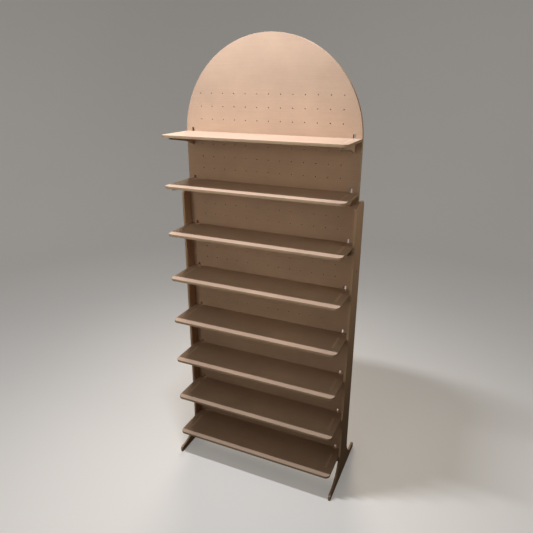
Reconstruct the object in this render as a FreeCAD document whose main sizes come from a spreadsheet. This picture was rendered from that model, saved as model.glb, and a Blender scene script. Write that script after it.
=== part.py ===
"""A tall cardboard display stand: an arched, peg-holed back panel between two
side posts with flared feet, and eight shelves on hooked brackets.

X runs along the shelves, the open front faces -Y and Z is up. The origin is on
the floor, in the middle of the stand's bounding box.
"""
import FreeCAD, Part
import os
import re

import Sketcher
from FreeCAD import Vector

doc = FreeCAD.newDocument("display_stand")

# Driving sizes, in millimetres
SIZES = [
    ("panel_width", 750, "back panel, side to side; its arch is a half circle"),
    ("panel_thickness", 16, "back panel"),
    ("panel_floor_gap", 57, "floor to the panel's bottom edge"),
    ("arch_centre_drop", 8, "arch centre below the top shelf's upper face"),
    ("shelf_count", 8, "shelves"),
    ("shelf_spacing", 200, "upper face to upper face"),
    ("lowest_shelf_top", 132, "floor to the lowest shelf's upper face"),
    ("shelf_depth", 195, "panel's front face to the shelf's front edge"),
    ("shelf_thickness", 10, "shelf board"),
    ("shelf_corner_radius", 20, "front corners of a shelf, in plan"),
    ("shelf_end_gap", 0.5, "shelf end to post"),
    ("shelf_back_gap", 0.3, "shelf's back edge to panel"),
    ("peg_pitch", 50, "peg holes, both ways"),
    ("peg_columns", 13, "peg holes across"),
    ("peg_rows", 3, "rows of peg holes above each shelf"),
    ("peg_diameter", 4, "peg holes"),
    ("post_thickness", 10, "side post board"),
    ("post_front_reach", 50, "post in front of the panel's front face"),
    ("post_rear_reach", 44, "post behind the panel's rear face"),
    ("post_top_drop", 25, "post top below the second shelf's underside"),
    ("post_corner_radius", 30, "top corners of a post"),
    ("flare_radius", 110, "curve from post to toe"),
    ("toe_height", 28, "toe above the floor"),
    ("toe_flat", 28, "toe beyond the end of the curve"),
    ("toe_corner_radius", 10, "upper corner of a toe"),
    ("bracket_thickness", 10, "bracket board"),
    ("bracket_inset", 31, "bracket's middle to the panel's side edge"),
    ("bracket_reach", 175, "bracket tip in front of the panel"),
    ("bracket_tip_height", 8, "bracket at its tip"),
    ("bracket_knee_reach", 45, "bend of the underside in front of the panel"),
    ("bracket_knee_height", 27, "bracket at that bend"),
    ("bracket_knee_radius", 150, "curve at that bend"),
    ("bracket_root_height", 45, "bracket at the panel"),
    ("tongue_height", 22, "bracket's tongue in its slot"),
    ("hook_drop", 24, "hook below the tongue, behind the panel"),
    ("hook_thickness", 8, "hook, front to back"),
    ("hook_gap", 0.3, "hook to the panel's rear face"),
    ("tenon_start", 50, "bracket's tenon in front of the panel"),
    ("tenon_length", 90, "tenon, front to back"),
    ("tenon_gap", 0.3, "tenon to its mortise, and below the shelf's upper face"),
    ("slot_free_height", 15, "slot above the shelf's upper face"),
    ("slot_side_gap", 0.3, "slot to bracket, each side"),
    ("dowel_count", 4, "dowels a side"),
    ("dowel_first_height", 60, "lowest dowel above the panel's bottom edge"),
    ("dowel_spacing", 380, "dowel to dowel"),
    ("dowel_diameter", 6, "dowels"),
    ("dowel_in_post", 6, "dowel's length in the post"),
    ("dowel_in_panel", 20, "dowel's length in the panel's edge"),
    ("dowel_gap", 0.2, "dowel to its hole, around and at each end"),
    ("screw_drop", 120, "side screw below the third shelf's upper face"),
    ("screw_shank", 4, "side screw's shank diameter"),
    ("screw_length", 26, "side screw below its head"),
    ("screw_head", 8, "side screw's head diameter"),
    ("screw_head_height", 4, "side screw's head"),
    ("socket_width", 4, "hexagon socket, across its corners"),
    ("socket_depth", 2.5, "hexagon socket"),
    ("screw_gap", 0.2, "screw to its hole, around and at its tip"),
]

# Sizes that follow from the driving ones
DERIVED = [
    ("half_panel", "panel_width / 2"),
    ("half_shelf", "half_panel - shelf_end_gap"),
    ("top_shelf_top", "lowest_shelf_top + (shelf_count - 1) * shelf_spacing"),
    ("arch_centre", "top_shelf_top - arch_centre_drop"),
    ("lowest_peg_row", "lowest_shelf_top + peg_pitch"),
    ("first_peg_column", "-(peg_columns - 1) / 2 * peg_pitch"),
    ("lowest_underside", "lowest_shelf_top - shelf_thickness"),
    ("bracket_middle", "half_panel - bracket_inset"),
    ("tenon_front", "tenon_start + tenon_length"),
    ("tenon_height", "shelf_thickness - tenon_gap"),
    ("mortise_inner", "bracket_middle - bracket_thickness / 2 - tenon_gap"),
    ("mortise_outer", "bracket_middle + bracket_thickness / 2 + tenon_gap"),
    ("mortise_rear", "tenon_start - tenon_gap"),
    ("mortise_front", "tenon_front + tenon_gap"),
    ("slot_inner", "bracket_middle - bracket_thickness / 2 - slot_side_gap"),
    ("slot_outer", "bracket_middle + bracket_thickness / 2 + slot_side_gap"),
    ("slot_bottom", "lowest_underside - tongue_height"),
    ("slot_top", "lowest_shelf_top + slot_free_height"),
    ("hook_front", "panel_thickness + hook_gap"),
    ("hook_rear", "hook_front + hook_thickness"),
    ("hook_bottom", "tongue_height + hook_drop"),
    ("post_rear", "panel_thickness + post_rear_reach"),
    ("post_top", "top_shelf_top - shelf_spacing - shelf_thickness - post_top_drop"),
    ("toe_front", "post_front_reach + flare_radius + toe_flat"),
    ("toe_rear", "post_rear + flare_radius + toe_flat"),
    ("middle_of_depth", "(toe_rear - shelf_depth) / 2"),
    ("panel_middle", "panel_thickness / 2"),
    ("lowest_dowel", "panel_floor_gap + dowel_first_height"),
    ("dowel_length", "dowel_in_post + dowel_in_panel"),
    ("dowel_bore", "dowel_diameter + 2 * dowel_gap"),
    ("outer_face", "half_panel + post_thickness"),
    ("screw_height", "top_shelf_top - 2 * shelf_spacing - screw_drop"),
    ("screw_bore", "screw_shank + 2 * screw_gap"),
    ("screw_head_bore", "screw_head + 2 * screw_gap"),
    ("screw_bore_in_panel", "screw_length + screw_head_height - post_thickness + screw_gap"),
]

sheet = doc.addObject("Spreadsheet::Sheet", "sizes")
for row, (alias, value, note) in enumerate(SIZES, start=1):
    sheet.set("A%d" % row, note)
    sheet.set("B%d" % row, str(value))
    sheet.setAlias("B%d" % row, alias)
for row, (alias, formula) in enumerate(DERIVED, start=len(SIZES) + 1):
    sheet.set("A%d" % row, alias.replace("_", " "))
    sheet.set("B%d" % row, "=" + formula)
    sheet.setAlias("B%d" % row, alias)
doc.recompute()


def bound(formula):
    """A formula in the sheet's words, as an object's expression."""
    return re.sub(r"[a-z][a-z_]+", lambda word: "sizes." + word.group(), formula)


def number(word):
    """The sheet's present value of a word, which may have a minus sign, or of 0."""
    if word == "0":
        return 0.0
    value = float(sheet.get(word.lstrip("-")))
    return -value if word.startswith("-") else value


def whole(word):
    return int(round(number(word)))


# Ways of making sketches and features

def new_body(label):
    body = doc.addObject("PartDesign::Body", label)
    body.Label = label
    return body


def new_sketch(body, name, plane, offset=None):
    """A sketch on one of the body's planes, moved along that plane's normal."""
    sketch = body.newObject("Sketcher::SketchObject", name)
    role = [part for part in body.Origin.OriginFeatures if part.Role == plane][0]
    sketch.AttachmentSupport = [(role, "")]
    sketch.MapMode = "FlatFace"
    if offset:
        sketch.setExpression("AttachmentOffset.Base.z", bound(offset))
    return sketch


def place_point(sketch, geometry, end, name, across, up):
    """Hold one point of a sketch at two of the sheet's words, or at one."""
    for kind, word, suffix in (("DistanceX", across, "across"), ("DistanceY", up, "up")):
        if word is None:
            continue
        index = sketch.addConstraint(
            Sketcher.Constraint(kind, -1, 1, geometry, end, number(word)))
        if word != "0":
            sketch.renameConstraint(index, "%s_%s" % (name, suffix))
            sketch.setExpression("Constraints.%s_%s" % (name, suffix), bound(word))


def draw_polygon(sketch, corners):
    """A closed outline with each corner held at (name, across, up)."""
    points = [Vector(number(across), number(up), 0) for _, across, up in corners]
    first = sketch.GeometryCount
    for index, point in enumerate(points):
        end = points[(index + 1) % len(points)]
        sketch.addGeometry(Part.LineSegment(point, end), False)
    for index, (name, across, up) in enumerate(corners):
        before = first + (index - 1) % len(points)
        sketch.addConstraint(Sketcher.Constraint("Coincident", before, 2, first + index, 1))
        place_point(sketch, first + index, 1, name, across, up)


def draw_circle(sketch, name, across, up, diameter):
    """A circle held at two of the sheet's words, its diameter at a third."""
    middle = Vector(number(across), number(up), 0)
    circle = sketch.addGeometry(
        Part.Circle(middle, Vector(0, 0, 1), number(diameter) / 2), False)
    place_point(sketch, circle, 3, name, across, up)
    index = sketch.addConstraint(
        Sketcher.Constraint("Diameter", circle, number(diameter)))
    sketch.renameConstraint(index, name + "_diameter")
    sketch.setExpression("Constraints.%s_diameter" % name, bound(diameter))


def pad(body, name, sketch, length, backwards=False, middle=False):
    feature = body.newObject("PartDesign::Pad", name)
    feature.Profile = sketch
    feature.setExpression("Length", bound(length))
    feature.Reversed = backwards
    feature.Midplane = middle
    doc.recompute()
    return feature


def pocket(body, name, sketch, depth=None, backwards=False):
    """Cut a sketch into the body: to a depth, or right through both ways."""
    before = body.Shape.Volume
    feature = body.newObject("PartDesign::Pocket", name)
    feature.Profile = sketch
    feature.Reversed = backwards
    if depth:
        feature.Type = "Length"
        feature.setExpression("Length", bound(depth))
    else:
        feature.Type = "ThroughAll"
        feature.Midplane = True
    doc.recompute()
    if body.Shape.Volume >= before:
        raise RuntimeError("%s cuts nothing from %s" % (name, body.Label))
    return feature


def repeat(body, name, feature, direction, spacing, count):
    """Repeat a cut along one of the body's axes."""
    before = body.Shape.Volume
    pattern = body.newObject("PartDesign::LinearPattern", name)
    pattern.Originals = [feature]
    set_row(body, pattern, direction, spacing, count)
    body.Tip = pattern
    doc.recompute()
    if body.Shape.Volume >= before:
        raise RuntimeError("%s repeats nothing on %s" % (name, body.Label))
    return pattern


def set_row(body, pattern, direction, spacing, count):
    axis = [part for part in body.Origin.OriginFeatures if part.Role == direction][0]
    pattern.Direction = (axis, [""])
    pattern.setExpression("Length", bound("(%s - 1) * %s" % (count, spacing)))
    pattern.setExpression("Occurrences", bound(count))


def round_edges(body, name, radius, corners, along):
    """Fillet the straight edges that run along one axis through given corners.

    A corner is a pair of the sheet's words, for the other two axes in order.
    """
    others = [axis for axis in range(3) if axis != along]
    base = body.Tip
    found = []
    for across, up in corners:
        wanted = (number(across), number(up))
        for index, edge in enumerate(base.Shape.Edges, start=1):
            ends = [vertex.Point for vertex in edge.Vertexes]
            if len(ends) == 2 and all(
                    abs(end[axis] - value) < 1e-4
                    for end in ends for axis, value in zip(others, wanted)):
                found.append("Edge%d" % index)
    if len(found) != len(corners):
        raise RuntimeError("%s finds %d edges" % (name, len(found)))
    fillet = body.newObject("PartDesign::Fillet", name)
    fillet.Base = (base, found)
    fillet.setExpression("Radius", bound(radius))
    doc.recompute()
    return fillet


# Back panel: an arched board with peg holes, bracket slots and edge bores

def make_back_panel():
    body = new_body("arched_back_panel")
    outline = new_sketch(body, "panel_outline", "XZ_Plane")
    low_left = Vector(-number("half_panel"), number("panel_floor_gap"), 0)
    low_right = Vector(number("half_panel"), number("panel_floor_gap"), 0)
    high_right = Vector(number("half_panel"), number("arch_centre"), 0)
    high_left = Vector(-number("half_panel"), number("arch_centre"), 0)
    top = Vector(0, number("arch_centre") + number("half_panel"), 0)
    outline.addGeometry([
        Part.LineSegment(high_left, low_left),
        Part.LineSegment(low_left, low_right),
        Part.LineSegment(low_right, high_right),
        Part.Arc(high_right, top, high_left),
    ], False)
    for line in range(3):
        outline.addConstraint(Sketcher.Constraint("Coincident", line, 2, (line + 1) % 4, 1))
    outline.addConstraint(Sketcher.Constraint("Coincident", 3, 2, 0, 1))
    place_point(outline, 0, 1, "high_left", "-half_panel", "arch_centre")
    place_point(outline, 1, 1, "low_left", "-half_panel", "panel_floor_gap")
    place_point(outline, 2, 1, "low_right", "half_panel", "panel_floor_gap")
    place_point(outline, 3, 1, "high_right", "half_panel", "arch_centre")
    place_point(outline, 3, 3, "arch_centre", None, "arch_centre")
    pad(body, "board", outline, "panel_thickness", backwards=True)

    slots = new_sketch(body, "lowest_slots", "XZ_Plane")
    for side, near, far in (("left", "-slot_outer", "-slot_inner"),
                            ("right", "slot_inner", "slot_outer")):
        draw_polygon(slots, [
            (side + "_low_near", near, "slot_bottom"),
            (side + "_low_far", far, "slot_bottom"),
            (side + "_high_far", far, "slot_top"),
            (side + "_high_near", near, "slot_top")])
    cut = pocket(body, "slots", slots)
    repeat(body, "slots_up_the_panel", cut, "Z_Axis", "shelf_spacing", "shelf_count")

    for name, first, count, spacing, bore, depth in (
            ("dowel_bores", "lowest_dowel", "dowel_count", "dowel_spacing",
             "dowel_bore", "dowel_in_panel + dowel_gap"),
            ("screw_bores", "screw_height", None, None,
             "screw_bore", "screw_bore_in_panel")):
        for side, edge, backwards in (("left", "-half_panel", True),
                                      ("right", "half_panel", False)):
            sketch = new_sketch(body, "%s_%s_sketch" % (side, name), "YZ_Plane", edge)
            draw_circle(sketch, name, "panel_middle", first, bore)
            cut = pocket(body, "%s_%s" % (side, name), sketch, depth, backwards)
            if count:
                repeat(body, "%s_%s_up" % (side, name), cut, "Z_Axis", spacing, count)

    peg = new_sketch(body, "first_peg_hole", "XZ_Plane")
    draw_circle(peg, "peg_hole", "first_peg_column", "lowest_peg_row", "peg_diameter")
    cut = pocket(body, "peg_hole", peg)
    before = body.Shape.Volume
    grid = body.newObject("PartDesign::MultiTransform", "peg_holes")
    grid.Originals = [cut]
    rows = []
    for name, direction, spacing, count in (
            ("across", "X_Axis", "peg_pitch", "peg_columns"),
            ("up_a_bay", "Z_Axis", "peg_pitch", "peg_rows"),
            ("bay_by_bay", "Z_Axis", "shelf_spacing", "shelf_count")):
        row = body.newObject("PartDesign::LinearPattern", "pegs_" + name)
        set_row(body, row, direction, spacing, count)
        rows.append(row)
    grid.Transformations = rows
    body.Tip = grid
    doc.recompute()
    if body.Shape.Volume >= before:
        raise RuntimeError("The peg holes repeat nothing")
    return body


# Side posts: each is one board, from its rounded top to its flared foot

def make_post(side):
    right = side == "right"
    body = new_body(side + "_post")
    inner_face = "half_panel" if right else "-half_panel"
    outline = new_sketch(body, side + "_post_outline", "YZ_Plane", inner_face)
    draw_polygon(outline, [
        ("front_sole", "-toe_front", "0"),
        ("rear_sole", "toe_rear", "0"),
        ("rear_toe", "toe_rear", "toe_height"),
        ("rear_heel", "post_rear", "toe_height"),
        ("rear_top", "post_rear", "post_top"),
        ("front_top", "-post_front_reach", "post_top"),
        ("front_heel", "-post_front_reach", "toe_height"),
        ("front_toe", "-toe_front", "toe_height")])
    pad(body, side + "_board", outline, "post_thickness", backwards=not right)
    round_edges(body, side + "_flares", "flare_radius",
                [("post_rear", "toe_height"), ("-post_front_reach", "toe_height")], 0)
    round_edges(body, side + "_top_corners", "post_corner_radius",
                [("post_rear", "post_top"), ("-post_front_reach", "post_top")], 0)
    round_edges(body, side + "_toe_corners", "toe_corner_radius",
                [("toe_rear", "toe_height"), ("-toe_front", "toe_height")], 0)

    dowels = new_sketch(body, side + "_dowel_sketch", "YZ_Plane", inner_face)
    draw_circle(dowels, "dowel", "panel_middle", "lowest_dowel", "dowel_bore")
    cut = pocket(body, side + "_dowel_bore", dowels, "dowel_in_post + dowel_gap",
                 backwards=right)
    repeat(body, side + "_dowel_bores", cut, "Z_Axis", "dowel_spacing", "dowel_count")

    screw = new_sketch(body, side + "_screw_sketch", "YZ_Plane", inner_face)
    draw_circle(screw, "screw", "panel_middle", "screw_height", "screw_bore")
    pocket(body, side + "_screw_bore", screw)
    outer_face = "outer_face" if right else "-outer_face"
    head = new_sketch(body, side + "_head_sketch", "YZ_Plane", outer_face)
    draw_circle(head, "head", "panel_middle", "screw_height", "screw_head_bore")
    pocket(body, side + "_head_recess", head, "screw_head_height", backwards=not right)
    return body


# Shelves: boards with rounded front corners

def make_shelf(place):
    body = new_body("shelf_%d" % (place + 1))
    outline = new_sketch(body, "shelf_outline_%d" % (place + 1), "XY_Plane")
    draw_polygon(outline, [
        ("left_back", "-half_shelf", "-shelf_back_gap"),
        ("left_front", "-half_shelf", "-shelf_depth"),
        ("right_front", "half_shelf", "-shelf_depth"),
        ("right_back", "half_shelf", "-shelf_back_gap")])
    pad(body, "shelf_board_%d" % (place + 1), outline, "shelf_thickness")
    round_edges(body, "shelf_corners_%d" % (place + 1), "shelf_corner_radius",
                [("-half_shelf", "-shelf_depth"), ("half_shelf", "-shelf_depth")], 2)
    mortises = new_sketch(body, "shelf_mortise_outlines_%d" % (place + 1), "XY_Plane")
    draw_polygon(mortises, [
        ("left_outer_rear", "-mortise_outer", "-mortise_rear"),
        ("left_outer_front", "-mortise_outer", "-mortise_front"),
        ("left_inner_front", "-mortise_inner", "-mortise_front"),
        ("left_inner_rear", "-mortise_inner", "-mortise_rear")])
    draw_polygon(mortises, [
        ("right_inner_rear", "mortise_inner", "-mortise_rear"),
        ("right_inner_front", "mortise_inner", "-mortise_front"),
        ("right_outer_front", "mortise_outer", "-mortise_front"),
        ("right_outer_rear", "mortise_outer", "-mortise_rear")])
    pocket(body, "shelf_mortises_%d" % (place + 1), mortises)
    body.setExpression("Placement.Base.z",
                       bound("lowest_underside + %d * shelf_spacing" % place))
    return body


# Brackets: tapered boards that pass through the panel and hook down behind it,
# each with a tenon that fills a mortise in its shelf

def make_bracket(place, side):
    name = "%s_bracket_%d" % (side, place + 1)
    body = new_body(name)
    outline = new_sketch(body, name + "_outline", "YZ_Plane")
    draw_polygon(outline, [
        ("tip_top", "-bracket_reach", "0"),
        ("tip_bottom", "-bracket_reach", "-bracket_tip_height"),
        ("knee", "-bracket_knee_reach", "-bracket_knee_height"),
        ("root", "0", "-bracket_root_height"),
        ("shoulder", "0", "-tongue_height"),
        ("throat", "hook_front", "-tongue_height"),
        ("hook_front", "hook_front", "-hook_bottom"),
        ("hook_rear", "hook_rear", "-hook_bottom"),
        ("hook_top", "hook_rear", "0"),
        ("tenon_heel", "-tenon_start", "0"),
        ("tenon_top_rear", "-tenon_start", "tenon_height"),
        ("tenon_top_front", "-tenon_front", "tenon_height"),
        ("tenon_toe", "-tenon_front", "0")])
    pad(body, name + "_board", outline, "bracket_thickness", middle=True)
    round_edges(body, name + "_knee", "bracket_knee_radius",
                [("-bracket_knee_reach", "-bracket_knee_height")], 0)
    middle = "bracket_middle" if side == "right" else "-bracket_middle"
    body.setExpression("Placement.Base.x", bound(middle))
    body.setExpression("Placement.Base.z",
                       bound("lowest_underside + %d * shelf_spacing" % place))
    return body


# Fasteners between posts and panel: blind dowels and one screw a side

def make_dowels():
    dowels = []
    for side, start in (("left", "-half_panel - dowel_in_post"),
                        ("right", "half_panel - dowel_in_panel")):
        for place in range(whole("dowel_count")):
            dowel = doc.addObject("Part::Cylinder", "%s_dowel_%d" % (side, place + 1))
            dowel.setExpression("Radius", bound("dowel_diameter / 2"))
            dowel.setExpression("Height", bound("dowel_length"))
            dowel.Placement.Rotation = FreeCAD.Rotation(Vector(0, 1, 0), 90)
            dowel.setExpression("Placement.Base.x", bound(start))
            dowel.setExpression("Placement.Base.y", bound("panel_middle"))
            dowel.setExpression("Placement.Base.z",
                                bound("lowest_dowel + %d * dowel_spacing" % place))
            dowels.append(dowel)
    return group("joining_dowels", dowels)


def make_screws():
    screws = []
    for side, turn, face in (("left", -90, "-outer_face"), ("right", 90, "outer_face")):
        shank = doc.addObject("Part::Cylinder", side + "_shank")
        shank.setExpression("Radius", bound("screw_shank / 2"))
        shank.setExpression("Height", bound("screw_length + screw_head_height"))
        head = doc.addObject("Part::Cylinder", side + "_head")
        head.setExpression("Radius", bound("screw_head / 2"))
        head.setExpression("Height", bound("screw_head_height"))
        head.setExpression("Placement.Base.z", bound("screw_length"))
        socket = doc.addObject("Part::Prism", side + "_socket")
        socket.Polygon = 6
        socket.setExpression("Circumradius", bound("socket_width / 2"))
        socket.setExpression("Height", bound("socket_depth"))
        socket.setExpression("Placement.Base.z",
                             bound("screw_length + screw_head_height - socket_depth"))
        turned = doc.addObject("Part::Fuse", side + "_blank")
        turned.Base = shank
        turned.Tool = head
        screw = doc.addObject("Part::Cut", side + "_screw")
        screw.Base = turned
        screw.Tool = socket
        screw.Placement.Rotation = FreeCAD.Rotation(Vector(0, 1, 0), turn)
        depth = "(screw_length + screw_head_height)"
        sign = "-" if side == "right" else "+"
        screw.setExpression("Placement.Base.x", bound("%s %s %s" % (face, sign, depth)))
        screw.setExpression("Placement.Base.y", bound("panel_middle"))
        screw.setExpression("Placement.Base.z", bound("screw_height"))
        screws.append(screw)
    return group("side_screws", screws)


def group(label, members):
    compound = doc.addObject("Part::Compound", label)
    compound.Label = label
    compound.Links = members
    return compound


parts = [make_back_panel(), make_post("left"), make_post("right")]
for shelf in range(whole("shelf_count")):
    parts.append(make_shelf(shelf))
    parts.append(make_bracket(shelf, "left"))
    parts.append(make_bracket(shelf, "right"))
parts.append(make_dowels())
parts.append(make_screws())

# The sketches measure from the panel's front face, the origin is mid-depth
for part in parts:
    part.setExpression("Placement.Base.y", bound("-middle_of_depth"))
doc.recompute()

for item in doc.Objects:
    if "Invalid" in item.State or "Error" in item.State:
        raise RuntimeError("%s is in state %s" % (item.Label, item.State))
for part in parts:
    if part.Shape.isNull() or not part.Shape.isValid():
        raise RuntimeError("%s has no valid shape" % part.Label)

os.makedirs("parts", exist_ok=True)
for part in parts:
    part.Shape.exportStep("parts/%s.step" % part.Label)
    print("%-20s %8.1f cm3" % (part.Label, part.Shape.Volume / 1000))
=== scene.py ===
"""The arched cardboard display stand: board finishes, fasteners and a plain studio."""
import math

import bpy
from bpy.props import FloatProperty, FloatVectorProperty, PointerProperty
from bpy.types import Operator, Panel, PropertyGroup
from mathutils import Matrix, Vector


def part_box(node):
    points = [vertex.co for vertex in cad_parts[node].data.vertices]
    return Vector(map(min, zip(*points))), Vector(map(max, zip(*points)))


bl_info = {
    "name": "Arched display stand",
    "version": (1, 0, 0),
    "blender": (4, 5, 0),
    "location": "3D View > Sidebar > Stand",
    "description": "Dresses the arched cardboard display stand and lights it",
    "category": "Object",
}

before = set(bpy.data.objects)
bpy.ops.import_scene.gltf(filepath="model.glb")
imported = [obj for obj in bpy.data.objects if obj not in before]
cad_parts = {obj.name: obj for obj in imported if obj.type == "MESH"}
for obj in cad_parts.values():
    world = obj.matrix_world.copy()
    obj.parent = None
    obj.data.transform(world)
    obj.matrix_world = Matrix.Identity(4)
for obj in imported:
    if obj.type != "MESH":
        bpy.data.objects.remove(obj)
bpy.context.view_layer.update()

SIDES = ("left", "right")
SHELF_COUNT = 8

# Boards measured on the frame, in metres
SHELF_LOW, SHELF_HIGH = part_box("shelf_1")
SHELF_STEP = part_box("shelf_2")[0].z - SHELF_LOW.z
PANEL_LOW, PANEL_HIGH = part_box("arched_back_panel")
POST_LOW, POST_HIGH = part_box("right_post")
BRACKET_LOW, BRACKET_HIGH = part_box("right_bracket_1")

# Kraft board: what the finishes of all the boards share
FACE_LIMITS = (0.45, 0.55)  # how far a cut edge, and a face, looks across the board
BOARD_SHIFT = (3.7, 5.3, 7.9)  # most that the paper's pattern moves between boards, in metres
BOARD_STRENGTH = 0.05  # how much the boards differ in tone
GRAIN_LENGTH, GRAIN_WIDTH = 0.02, 0.0009  # of the paper's fine grain, in metres
GRAIN_STRENGTH = 0.12  # how much the fine grain changes the tone
FIBRE_LIMITS = (0.66, 0.78)  # noise at which fibres along the grain begin and are full
CROSS_LIMITS = (0.69, 0.80)  # noise at which those across it begin and are full
WAVE_HEIGHT = 0.33  # of the core's wave, in layers
WALL_LIMITS = (0.08, 0.16)  # from a core wall to a gap's start and full depth, in layers
GAP_STRENGTH = 0.45  # how dark the painted shade in the gaps is
GAP_DEPTH = -4.0  # relief of the gaps, against the paper's
STREAK_RELIEF = 0.5  # relief of the streaks, against the fine grain's
RUB_AND_HIGHLIGHT_LIMITS = (0.80, 0.995)  # match of soft and true edge: fully rubbed and given a painted highlight, and untouched
RUB_AND_HIGHLIGHT_PALENESS = 1.35  # colour of a rubbed edge and its painted highlight, against the face's
TOOTH_STRENGTH = 0.6  # of the paper's relief
ROUGHNESS_RANGE = 0.2  # how much the clouds change the roughness
PAPER_SHEEN = 0.25
BEVEL_SAMPLES = 4

# Screws and dowels, sizes in metres
TURNING_MARKS = (0.01, 0.0004, 0.0004)
TURNING_DEPTH = 0.00003
STEEL_ROUGHNESS_RANGE = 0.2
SCREW_ROUND = 0.0003
WOOD_GRAIN = (0.03, 0.0008, 0.0008)
WOOD_GRAIN_DEPTH = 0.0001
WOOD_ROUGHNESS = 0.65
TONE_RANGE = 0.6  # how much the marks and the grain change the tone
RELIEF_STRENGTH = 0.5

# Floor, sizes in metres
FLOOR_CLOUD = 0.9
FLOOR_CLOUD_RANGE = 0.03  # how much the faint clouds change the tone
FLOOR_ROUGHNESS, FLOOR_SHEEN = 0.85, 0.2
FLOOR_SEGMENTS = 128
CURVE_STEP = 6  # in degrees

SENSOR_WIDTH = 36.0  # in millimetres

# Soft lights: name, settings of place and power, and the point that each faces
SOFT_LIGHTS = (
    ("front_light", "front_soft", "front_power", (0.0, 0.0, 1.4)),
    ("ceiling_light", "ceiling_soft", "ceiling_power", (0.0, 0.0, 0.9)),
    ("side_light", "side_soft", "side_power", (0.3, 0.0, 1.9)),
    ("left_light", "left_soft", "left_power", (-0.3, 0.0, 1.3)),
    ("back_light", "back_soft", "back_power", (0.0, 0.0, 1.1)),
)


def colour(name, description, default):
    return FloatVectorProperty(
        name=name, description=description, default=default, subtype="COLOR",
        size=3, min=0.0, max=1.0)


def length(name, description, default):
    return FloatProperty(
        name=name, description=description, default=default, unit="LENGTH",
        subtype="DISTANCE", min=0.0)


def share(name, description, default):
    return FloatProperty(
        name=name, description=description, default=default, subtype="FACTOR",
        min=0.0, max=1.0)


def spot(name, description, default):
    return FloatVectorProperty(
        name=name, description=description, default=default, subtype="XYZ",
        unit="LENGTH")


def power(name, description, default):
    return FloatProperty(
        name=name, description=description, default=default, subtype="POWER", min=0.0)


def angle(name, description, degrees, **limits):
    return FloatProperty(
        name=name, description=description, default=math.radians(degrees),
        subtype="ANGLE", **limits)


class BoardSettings(PropertyGroup):
    """Kraft board, on its faces and its cut edges."""

    face: colour("Face", "Kraft paper on the board's faces", (0.50, 0.36, 0.265))
    # Posts: the face kraft made warmer, as painted warm bounced light and shade
    post_face_warm_light: colour("Post face", "Kraft paper on the posts' faces", (0.54, 0.365, 0.245))
    edge: colour("Edge", "Cut edges of the shelves", (0.51, 0.375, 0.25))
    pale_edge: colour("Pale edge", "Cut edges of panel and posts", (0.61, 0.45, 0.31))
    # Bracket and tenon edges: the board's cut-edge colour made paler by a painted highlight
    # where tips and tenon tops catch the light
    bracket_edge_and_highlight: colour("Bracket edge", "Cut edges of brackets and tenons",
                         (0.72, 0.53, 0.385))
    # Painted shade inside the core's gaps
    hollow_shade: colour("Hollow", "Gaps in the core, seen in a cut edge", (0.25, 0.17, 0.11))
    fleck: colour("Fleck", "Dark fibres in the paper", (0.30, 0.19, 0.12))
    mottle_size: length("Cloud size", "Size of the paper's pale and dark clouds", 0.14)
    streak_length: length("Streak length", "Length of the streaks along the board", 0.16)
    streak_width: length("Streak width", "Width of those streaks", 0.0024)
    fibre_length: length("Fibre length", "Length of a dark fibre", 0.006)
    fibre_width: length("Fibre width", "Width of a dark fibre", 0.0008)
    flute_pitch: length("Flute pitch", "Wave to wave in the board's core", 0.0078)
    edge_round: length("Edge round", "Softening of the board's edges", 0.0012)
    tooth: length("Tooth", "Height of the paper's roughness", 0.00012)
    mottle: share("Clouds", "Strength of the clouds", 0.16)
    streak: share("Streaks", "Strength of the streaks", 0.10)
    flecks: share("Flecks", "Strength of the dark fibres", 0.35)
    # Paler edges: partly wear, partly a painted highlight along the edges
    wear_and_highlight: share("Wear", "How much paler the edges are", 0.34)
    # Rounder, paler edges on shelves and brackets: partly wear, partly a painted highlight
    shelf_wear: FloatProperty(
        name="Shelf wear", description="Wear of shelves and brackets, against the rest",
        default=2.0, min=0.0, max=2.5)
    roughness: share("Roughness", "Roughness of the paper", 0.78)


class FastenerSettings(PropertyGroup):
    """Side screws and hidden dowels."""

    steel: colour("Steel", "Dark screw steel", (0.055, 0.05, 0.047))
    dowel: colour("Dowel", "Turned wood", (0.55, 0.38, 0.22))
    steel_roughness: share("Steel roughness", "Roughness of the screws", 0.38)


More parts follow.
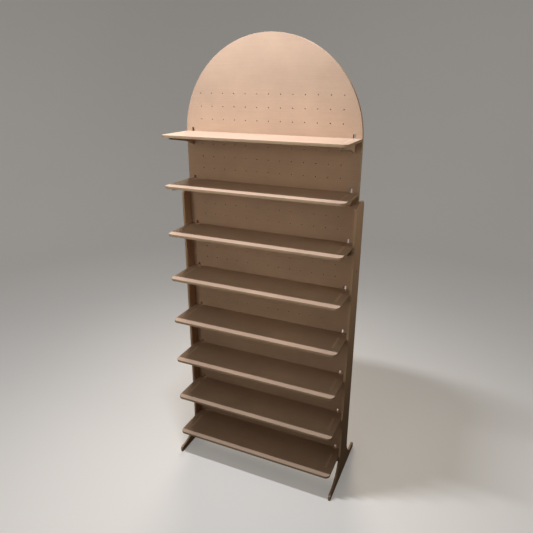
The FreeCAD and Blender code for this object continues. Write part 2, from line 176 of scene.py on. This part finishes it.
class StageSettings(PropertyGroup):
    """Camera, lights and floor."""

    eye: spot("Camera", "Place of the camera", (0.8110, -1.8406, 1.7311))
    turn: angle("Turn", "Camera turned to the left", 23.972)
    tilt: angle("Tilt", "Camera tilted down", 20.546)
    roll: angle("Roll", "Camera rolled about its view", 0.152)
    lens: FloatProperty(
        name="Lens", description="Focal length on a 36 mm wide sensor",
        default=33.542, min=1.0, subtype="DISTANCE_CAMERA")
    lamp: spot("Lamp", "Middle of the small lamp above the front", (-0.20, -0.475, 2.80))
    lamp_length: length("Lamp length", "Length of the lamp, along the shelves", 0.35)
    lamp_width: length("Lamp width", "Width of the lamp", 0.06)
    lamp_power: power("Lamp power", "Power of the lamp", 37.0)
    lamp_colour: colour("Lamp colour", "Colour of the lamp's light", (0.93, 0.94, 1.0))
    front_soft: spot("Front light", "Middle of the soft light in front", (-0.9, -2.8, 1.65))
    front_power: power("Front power", "Power of the soft light in front", 3.35)
    ceiling_soft: spot("Ceiling light", "Middle of the soft light above the front",
                       (-0.3, -1.4, 2.9))
    ceiling_power: power("Ceiling power", "Power of the soft light above the front", 1.3)
    side_soft: spot("Side light", "Middle of the soft light on the right", (2.6, -0.3, 2.3))
    side_power: power("Side power", "Power of the soft light on the right", 4.0)
    left_soft: spot("Left light", "Middle of the soft light on the left", (-2.6, -0.3, 1.9))
    left_power: power("Left power", "Power of the soft light on the left", 1.3)
    back_soft: spot("Back light", "Middle of the soft light behind the stand",
                    (-1.2, 3.0, 2.2))
    back_power: power("Back power", "Power of the soft light behind the stand", 13.0)
    soft_size: length("Soft light size", "Side of each soft light", 1.8)
    soft_spread: angle("Soft light spread", "Spread of the soft lights' beams", 60.0,
                       min=0.0, max=math.pi)
    soft_colour: colour("Soft light colour", "Colour of the soft lights", (1.0, 0.90, 0.75))
    fill: FloatProperty(
        name="Fill", description="Strength of the even light of the room",
        default=0.045, min=0.0)
    fill_colour: colour("Fill colour", "Colour of the room's even light", (1.0, 0.86, 0.70))
    floor: colour("Floor", "Plain pale floor and the wall it curves up into",
                  (0.70, 0.68, 0.65))
    floor_glow: share("Floor glow", "Even light that the floor and wall show", 0.30)
    floor_radius: length("Floor radius", "Middle of the floor to the wall", 5.5)
    floor_curve: length("Floor curve", "Curve from floor to wall", 2.0)
    wall_height: length("Wall height", "Height of the wall", 4.5)


class Shader:
    """A material under construction: adds nodes and joins them by socket."""

    def __init__(self, name):
        self.material = bpy.data.materials.new(name)
        self.material.use_nodes = True
        self.tree = self.material.node_tree
        self.tree.nodes.clear()

    def add(self, kind, inputs=None, **settings):
        node = self.tree.nodes.new(kind)
        for key, value in settings.items():
            setattr(node, key, value)
        for key, value in (inputs or {}).items():
            self.feed(node.inputs[key], value)
        return node

    def feed(self, socket, value):
        if isinstance(value, bpy.types.NodeSocket):
            self.tree.links.new(value, socket)
        else:
            socket.default_value = value

    def math(self, operation, first, second=0.0, third=0.0):
        node = self.add("ShaderNodeMath", {0: first, 1: second, 2: third},
                        operation=operation)
        return node.outputs[0]

    def scale(self, vector, factor):
        node = self.add("ShaderNodeVectorMath", {0: vector, 3: factor}, operation="SCALE")
        return node.outputs[0]

    def dot(self, first, second):
        node = self.add("ShaderNodeVectorMath", {0: first, 1: second},
                        operation="DOT_PRODUCT")
        return node.outputs["Value"]

    def mix(self, factor, first, second):
        node = self.add("ShaderNodeMix", {0: factor, 6: first, 7: second},
                        data_type="RGBA")
        return node.outputs[2]

    def ramp(self, value, low, high):
        """0 below low, 1 above high, smooth between."""
        node = self.add("ShaderNodeMapRange", {
            "Value": value, "From Min": low, "From Max": high},
            interpolation_type="SMOOTHSTEP")
        return node.outputs["Result"]

    def noise(self, point, sizes, detail=2.0):
        """Noise whose grains have the given size along X, Y and Z, in metres."""
        mapping = self.add("ShaderNodeMapping", {
            "Vector": point, "Scale": [1.0 / size for size in sizes]})
        noise = self.add("ShaderNodeTexNoise", {
            "Vector": mapping.outputs[0], "Scale": 1.0, "Detail": detail})
        return noise.outputs["Fac"]

    def finish(self, shader):
        output = self.add("ShaderNodeOutputMaterial")
        self.tree.links.new(shader.outputs[0], output.inputs["Surface"])
        return self.material


def along(axis, long, short):
    """Sizes of a grain that is long on one axis and short on the others."""
    return [long if index == axis else short for index in range(3)]


def paper_tone(shader, settings, point, grain, board):
    """Brightness of the paper, and its clouds, streaks and fine grain."""
    clouds = shader.noise(point, [settings.mottle_size] * 3, 3.0)
    streaks = shader.noise(
        point, along(grain, settings.streak_length, settings.streak_width), 3.0)
    fine = shader.noise(point, along(grain, GRAIN_LENGTH, GRAIN_WIDTH), 1.0)
    value = 1.0
    for pattern, strength in (
            (clouds, 2.0 * settings.mottle), (streaks, 2.0 * settings.streak),
            (fine, GRAIN_STRENGTH), (board, BOARD_STRENGTH)):
        value = shader.math("MULTIPLY_ADD", shader.math("SUBTRACT", pattern, 0.5),
                            strength, value)
    return value, clouds, streaks, fine


def flecked_paper(shader, settings, face, value, point, grain, across):
    """Colour of a board's face: paper with dark fibres along and across it."""
    size = (settings.fibre_length, settings.fibre_width)
    fibres = shader.ramp(shader.noise(point, along(grain, *size), 1.0), *FIBRE_LIMITS)
    cross = shader.ramp(shader.noise(point, along(across, *size), 1.0), *CROSS_LIMITS)
    paper = shader.scale((*face,), value)
    flecks = shader.math("MULTIPLY", shader.math("MAXIMUM", fibres, cross),
                         settings.flecks)
    return shader.mix(flecks, paper, (*settings.fleck, 1.0))


def core_gaps(shader, settings, place, thin, across, low, thickness, step):
    """Gaps in a cut edge, between its waves and the liners on its faces and in the middle;
    the mask both sinks them and darkens them with painted shade.
    """
    parts = shader.add("ShaderNodeSeparateXYZ", {0: place}).outputs
    depth = parts[thin]
    if thin == 0:
        depth = shader.math("ABSOLUTE", depth)
    depth = shader.math("SUBTRACT", depth, low)
    if step:
        depth = shader.math("FLOORED_MODULO", depth, step)
    depth = shader.math("DIVIDE", depth, thickness)
    layer = shader.math("FRACT", shader.math("MULTIPLY", depth, 2.0))
    turns = shader.math("MULTIPLY", parts[across], math.tau / settings.flute_pitch)
    wave = shader.math("MULTIPLY_ADD", shader.math("SINE", turns), WAVE_HEIGHT, 0.5)
    from_wave = shader.math("ABSOLUTE", shader.math("SUBTRACT", layer, wave))
    from_liner = shader.math("SUBTRACT", 0.5, shader.math(
        "ABSOLUTE", shader.math("SUBTRACT", layer, 0.5)))
    nearest = shader.math("MINIMUM", from_wave, from_liner)
    return shader.math("MULTIPLY", shader.ramp(nearest, *WALL_LIMITS), GAP_STRENGTH)


def rubbed_and_highlit_edges(shader, settings, true_normal, worn_and_highlit):
    """Softened direction of the surface near an edge, and how far it is paled: partly rubbed
    wear, partly a painted highlight.
    """
    rounded = shader.add("ShaderNodeBevel", {"Radius": worn_and_highlit * settings.edge_round},
                         samples=BEVEL_SAMPLES).outputs[0]
    flat = shader.ramp(shader.dot(rounded, true_normal), *RUB_AND_HIGHLIGHT_LIMITS)
    rub_and_highlight = shader.math("MULTIPLY", shader.math("SUBTRACT", 1.0, flat),
                      worn_and_highlit * settings.wear_and_highlight)
    return rounded, rub_and_highlight


def kraft_board(name, face, edge, thin, grain, low, thickness, step=0.0, worn_and_highlit=1.0):
    """Kraft board: thin is the axis across it, grain the axis its core runs along.

    low is where the board starts on the thin axis, step the distance between
    boards that share the material, and the last argument how strongly their edges are rounded
    and paled, partly as wear and partly as a painted highlight.
    """
    settings = bpy.context.scene.stand_boards
    shader = Shader(name)
    across = 3 - thin - grain
    place = shader.add("ShaderNodeTexCoord").outputs["Object"]
    true_normal = shader.add("ShaderNodeNewGeometry").outputs["True Normal"]
    board = shader.add("ShaderNodeObjectInfo").outputs["Random"]
    shift = shader.add("ShaderNodeCombineXYZ", {
        axis: shader.math("MULTIPLY", board, factor)
        for axis, factor in zip("XYZ", BOARD_SHIFT)})
    point = shader.add("ShaderNodeVectorMath", {0: place, 1: shift.outputs[0]},
                       operation="ADD").outputs[0]
    unit = [1.0 if index == thin else 0.0 for index in range(3)]
    facing = shader.math("ABSOLUTE", shader.dot(true_normal, unit))
    cut = shader.math("SUBTRACT", 1.0, shader.ramp(facing, *FACE_LIMITS))

    value, clouds, streaks, fine = paper_tone(shader, settings, point, grain, board)
    paper = flecked_paper(shader, settings, face, value, point, grain, across)
    gap = core_gaps(shader, settings, place, thin, across, low, thickness, step)
    # Painted shade in the core's gaps
    core = shader.mix(gap, shader.scale((*edge,), value), (*settings.hollow_shade, 1.0))
    rounded, rub_and_highlight = rubbed_and_highlit_edges(shader, settings, true_normal, worn_and_highlit)
    base = shader.mix(cut, paper, core)
    # Paler edges: partly rubbed wear, partly a painted highlight
    base = shader.mix(rub_and_highlight, base, (*(RUB_AND_HIGHLIGHT_PALENESS * part for part in face), 1.0))

    height = shader.math("MULTIPLY_ADD", streaks, STREAK_RELIEF, fine)
    height = shader.math("MULTIPLY_ADD", gap, shader.math("MULTIPLY", cut, GAP_DEPTH),
                         height)
    bump = shader.add("ShaderNodeBump", {
        "Height": height, "Normal": rounded, "Distance": settings.tooth,
        "Strength": TOOTH_STRENGTH})
    rough = shader.math("MULTIPLY_ADD", shader.math("SUBTRACT", clouds, 0.5),
                        ROUGHNESS_RANGE, settings.roughness)
    surface = shader.add("ShaderNodeBsdfPrincipled", {
        "Base Color": base, "Roughness": rough, "Normal": bump.outputs[0],
        "Specular IOR Level": PAPER_SHEEN})
    return shader.finish(surface)


def screw_steel(settings):
    """Dark screw steel with turning marks round the head."""
    shader = Shader("screw_steel")
    place = shader.add("ShaderNodeTexCoord").outputs["Object"]
    marks = shader.noise(place, TURNING_MARKS, 2.0)
    value = shader.math("MULTIPLY_ADD", marks, TONE_RANGE, 1.0 - TONE_RANGE / 2)
    base = shader.scale((*settings.steel,), value)
    rough = shader.math("MULTIPLY_ADD", marks, STEEL_ROUGHNESS_RANGE,
                        settings.steel_roughness - STEEL_ROUGHNESS_RANGE / 2)
    rounded = shader.add("ShaderNodeBevel", {"Radius": SCREW_ROUND}, samples=BEVEL_SAMPLES)
    bump = shader.add("ShaderNodeBump", {
        "Height": marks, "Normal": rounded.outputs[0],
        "Distance": TURNING_DEPTH, "Strength": RELIEF_STRENGTH})
    surface = shader.add("ShaderNodeBsdfPrincipled", {
        "Base Color": base, "Roughness": rough, "Metallic": 1.0,
        "Normal": bump.outputs[0]})
    return shader.finish(surface)


def dowel_wood(settings):
    """Pale turned wood with its grain along the dowel."""
    shader = Shader("dowel_wood")
    place = shader.add("ShaderNodeTexCoord").outputs["Object"]
    grain = shader.noise(place, WOOD_GRAIN, 3.0)
    base = shader.scale((*settings.dowel,), shader.math(
        "MULTIPLY_ADD", grain, TONE_RANGE, 1.0 - TONE_RANGE / 2))
    bump = shader.add("ShaderNodeBump", {
        "Height": grain, "Distance": WOOD_GRAIN_DEPTH, "Strength": RELIEF_STRENGTH})
    surface = shader.add("ShaderNodeBsdfPrincipled", {
        "Base Color": base, "Roughness": WOOD_ROUGHNESS, "Normal": bump.outputs[0]})
    return shader.finish(surface)


def plain_floor(settings):
    """Pale matte floor with a very faint unevenness."""
    shader = Shader("plain_floor")
    place = shader.add("ShaderNodeTexCoord").outputs["Object"]
    clouds = shader.noise(place, [FLOOR_CLOUD] * 3, 2.0)
    base = shader.scale((*settings.floor,), shader.math(
        "MULTIPLY_ADD", clouds, FLOOR_CLOUD_RANGE, 1.0 - FLOOR_CLOUD_RANGE / 2))
    surface = shader.add("ShaderNodeBsdfPrincipled", {
        "Base Color": base, "Roughness": FLOOR_ROUGHNESS,
        "Specular IOR Level": FLOOR_SHEEN,
        "Emission Color": base, "Emission Strength": settings.floor_glow})
    return shader.finish(surface)


def dress(node, material):
    """Give a piece of the frame its finish."""
    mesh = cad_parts[node].data
    mesh.materials.clear()
    mesh.materials.append(material)


class STAND_OT_panel(Operator):
    """Finish the arched back panel"""

    bl_idname = "stand.panel"
    bl_label = "Back panel"

    def execute(self, context):
        boards = context.scene.stand_boards
        material = kraft_board("panel_kraft", boards.face, boards.pale_edge, 1, 0,
                               PANEL_LOW.y, PANEL_HIGH.y - PANEL_LOW.y)
        dress("arched_back_panel", material)
        return {"FINISHED"}


class STAND_OT_posts(Operator):
    """Finish the two side posts and their feet"""

    bl_idname = "stand.posts"
    bl_label = "Side posts"

    def execute(self, context):
        boards = context.scene.stand_boards
        # The posts' warmer face colour is painted warm light
        material = kraft_board("post_kraft", boards.post_face_warm_light, boards.pale_edge, 0, 2,
                               POST_LOW.x, POST_HIGH.x - POST_LOW.x)
        for side in SIDES:
            dress(side + "_post", material)
        return {"FINISHED"}


class STAND_OT_shelves(Operator):
    """Finish the shelves"""

    bl_idname = "stand.shelves"
    bl_label = "Shelves"

    def execute(self, context):
        boards = context.scene.stand_boards
        material = kraft_board("shelf_kraft", boards.face, boards.edge, 2, 0,
                               SHELF_LOW.z, SHELF_HIGH.z - SHELF_LOW.z, SHELF_STEP,
                               boards.shelf_wear)
        for place in range(1, SHELF_COUNT + 1):
            dress("shelf_%d" % place, material)
        return {"FINISHED"}


class STAND_OT_brackets(Operator):
    """Finish the hooked brackets under the shelves"""

    bl_idname = "stand.brackets"
    bl_label = "Brackets"

    def execute(self, context):
        boards = context.scene.stand_boards
        # The bracket edge colour carries a painted highlight
        material = kraft_board("bracket_kraft", boards.face, boards.bracket_edge_and_highlight, 0, 1,
                               BRACKET_LOW.x, BRACKET_HIGH.x - BRACKET_LOW.x, 0.0,
                               boards.shelf_wear)
        for place in range(1, SHELF_COUNT + 1):
            for side in SIDES:
                dress("%s_bracket_%d" % (side, place), material)
        return {"FINISHED"}


class STAND_OT_fasteners(Operator):
    """Finish the side screws and the hidden dowels"""

    bl_idname = "stand.fasteners"
    bl_label = "Screws and dowels"

    def execute(self, context):
        settings = context.scene.stand_fasteners
        dress("side_screws", screw_steel(settings))
        dress("joining_dowels", dowel_wood(settings))
        return {"FINISHED"}


class STAND_OT_stage(Operator):
    """Lay the floor, hang the lights and place the camera"""

    bl_idname = "stand.stage"
    bl_label = "Studio"

    def execute(self, context):
        settings = context.scene.stand_stage
        self.lay_floor(context, settings)
        lamp = settings.lamp
        self.hang_light(context, "long_lamp", lamp, settings.lamp_length,
                        settings.lamp_width, settings.lamp_power, settings.lamp_colour,
                        (lamp[0], lamp[1], 0.0), math.pi)
        for name, place, strength, target in SOFT_LIGHTS:
            self.hang_light(context, name, getattr(settings, place), settings.soft_size,
                            settings.soft_size, getattr(settings, strength),
                            settings.soft_colour, target, settings.soft_spread)
        self.light_room(context, settings)
        self.place_camera(context, settings)
        context.scene.view_settings.view_transform = "Standard"
        return {"FINISHED"}

    def lay_floor(self, context, settings):
        """A round floor that curves up into a wall, so no edge shows behind the stand."""
        curve, inner = settings.floor_curve, settings.floor_radius - settings.floor_curve
        profile = [(inner + curve * math.sin(turn), curve * (1.0 - math.cos(turn)))
                   for turn in map(math.radians, range(0, 91, CURVE_STEP))]
        profile.append((settings.floor_radius, settings.wall_height))
        count = FLOOR_SEGMENTS
        corners = [(0.0, 0.0, 0.0)]
        for radius, height in profile:
            for place in range(count):
                turn = math.tau * place / count
                corners.append((radius * math.cos(turn), radius * math.sin(turn), height))
        faces = [(0, 1 + place, 1 + (place + 1) % count) for place in range(count)]
        for ring in range(len(profile) - 1):
            low, high = 1 + ring * count, 1 + (ring + 1) * count
            for place in range(count):
                after = (place + 1) % count
                faces.append((low + place, high + place, high + after, low + after))
        mesh = bpy.data.meshes.new("floor")
        mesh.from_pydata(corners, [], faces)
        mesh.shade_smooth()
        mesh.materials.append(plain_floor(settings))
        floor = bpy.data.objects.new("floor", mesh)
        context.scene.collection.objects.link(floor)
        floor.visible_diffuse = False
        floor.visible_glossy = False

    def hang_light(self, context, name, place, long, wide, strength, tint, target, spread):
        """A rectangular light that faces a point, and that the camera doesn't see."""
        light = bpy.data.lights.new(name, "AREA")
        light.shape = "RECTANGLE"
        light.size = long
        light.size_y = wide
        light.energy = strength
        light.color = tint
        light.spread = spread
        holder = bpy.data.objects.new(name, light)
        toward = Vector(target) - Vector(place)
        holder.matrix_world = Matrix.Translation(place)
        if toward.xy.length > 1e-6:
            holder.matrix_world @= toward.to_track_quat("-Z", "Y").to_matrix().to_4x4()
        holder.visible_camera = False
        context.scene.collection.objects.link(holder)

    def light_room(self, context, settings):
        """The room's faint even light, which nothing mirrors."""
        world = bpy.data.worlds.new("room_light")
        world.use_nodes = True
        background = world.node_tree.nodes["Background"]
        background.inputs["Color"].default_value = (*settings.fill_colour, 1.0)
        background.inputs["Strength"].default_value = settings.fill
        world.cycles_visibility.glossy = False
        context.scene.world = world

    def place_camera(self, context, settings):
        """A camera turned left, tilted down and rolled about its view."""
        turn, tilt, roll = settings.turn, settings.tilt, settings.roll
        ahead = Vector((-math.sin(turn) * math.cos(tilt),
                        math.cos(turn) * math.cos(tilt), -math.sin(tilt)))
        level = Vector((math.cos(turn), math.sin(turn), 0.0))
        upright = level.cross(ahead)
        right = math.cos(roll) * level + math.sin(roll) * upright
        above = -math.sin(roll) * level + math.cos(roll) * upright
        camera = bpy.data.cameras.new("camera")
        camera.sensor_fit = "HORIZONTAL"
        camera.sensor_width = SENSOR_WIDTH
        camera.lens = settings.lens
        holder = bpy.data.objects.new("camera", camera)
        axes = Matrix((right, above, -ahead)).transposed().to_4x4()
        holder.matrix_world = Matrix.Translation(settings.eye) @ axes
        context.scene.collection.objects.link(holder)
        context.scene.camera = holder


STEPS = (STAND_OT_panel, STAND_OT_posts, STAND_OT_shelves, STAND_OT_brackets,
         STAND_OT_fasteners, STAND_OT_stage)


class STAND_PT_sidebar(Panel):
    """Sizes, colours and steps of the stand"""

    bl_idname = "STAND_PT_sidebar"
    bl_label = "Arched display stand"
    bl_space_type = "VIEW_3D"
    bl_region_type = "UI"
    bl_category = "Stand"

    def draw(self, context):
        scene = context.scene
        for settings in (scene.stand_boards, scene.stand_fasteners, scene.stand_stage):
            box = self.layout.box()
            for name in settings.__annotations__:
                box.prop(settings, name)
        for step in STEPS:
            self.layout.operator(step.bl_idname)


CLASSES = (BoardSettings, FastenerSettings, StageSettings, *STEPS, STAND_PT_sidebar)


def register():
    for item in CLASSES:
        bpy.utils.register_class(item)
    bpy.types.Scene.stand_boards = PointerProperty(type=BoardSettings)
    bpy.types.Scene.stand_fasteners = PointerProperty(type=FastenerSettings)
    bpy.types.Scene.stand_stage = PointerProperty(type=StageSettings)


def unregister():
    del bpy.types.Scene.stand_stage
    del bpy.types.Scene.stand_fasteners
    del bpy.types.Scene.stand_boards
    for item in reversed(CLASSES):
        bpy.utils.unregister_class(item)


def main():
    register()
    bpy.ops.stand.panel()
    bpy.ops.stand.posts()
    bpy.ops.stand.shelves()
    bpy.ops.stand.brackets()
    bpy.ops.stand.fasteners()
    bpy.ops.stand.stage()


if __name__ == "__main__":
    main()
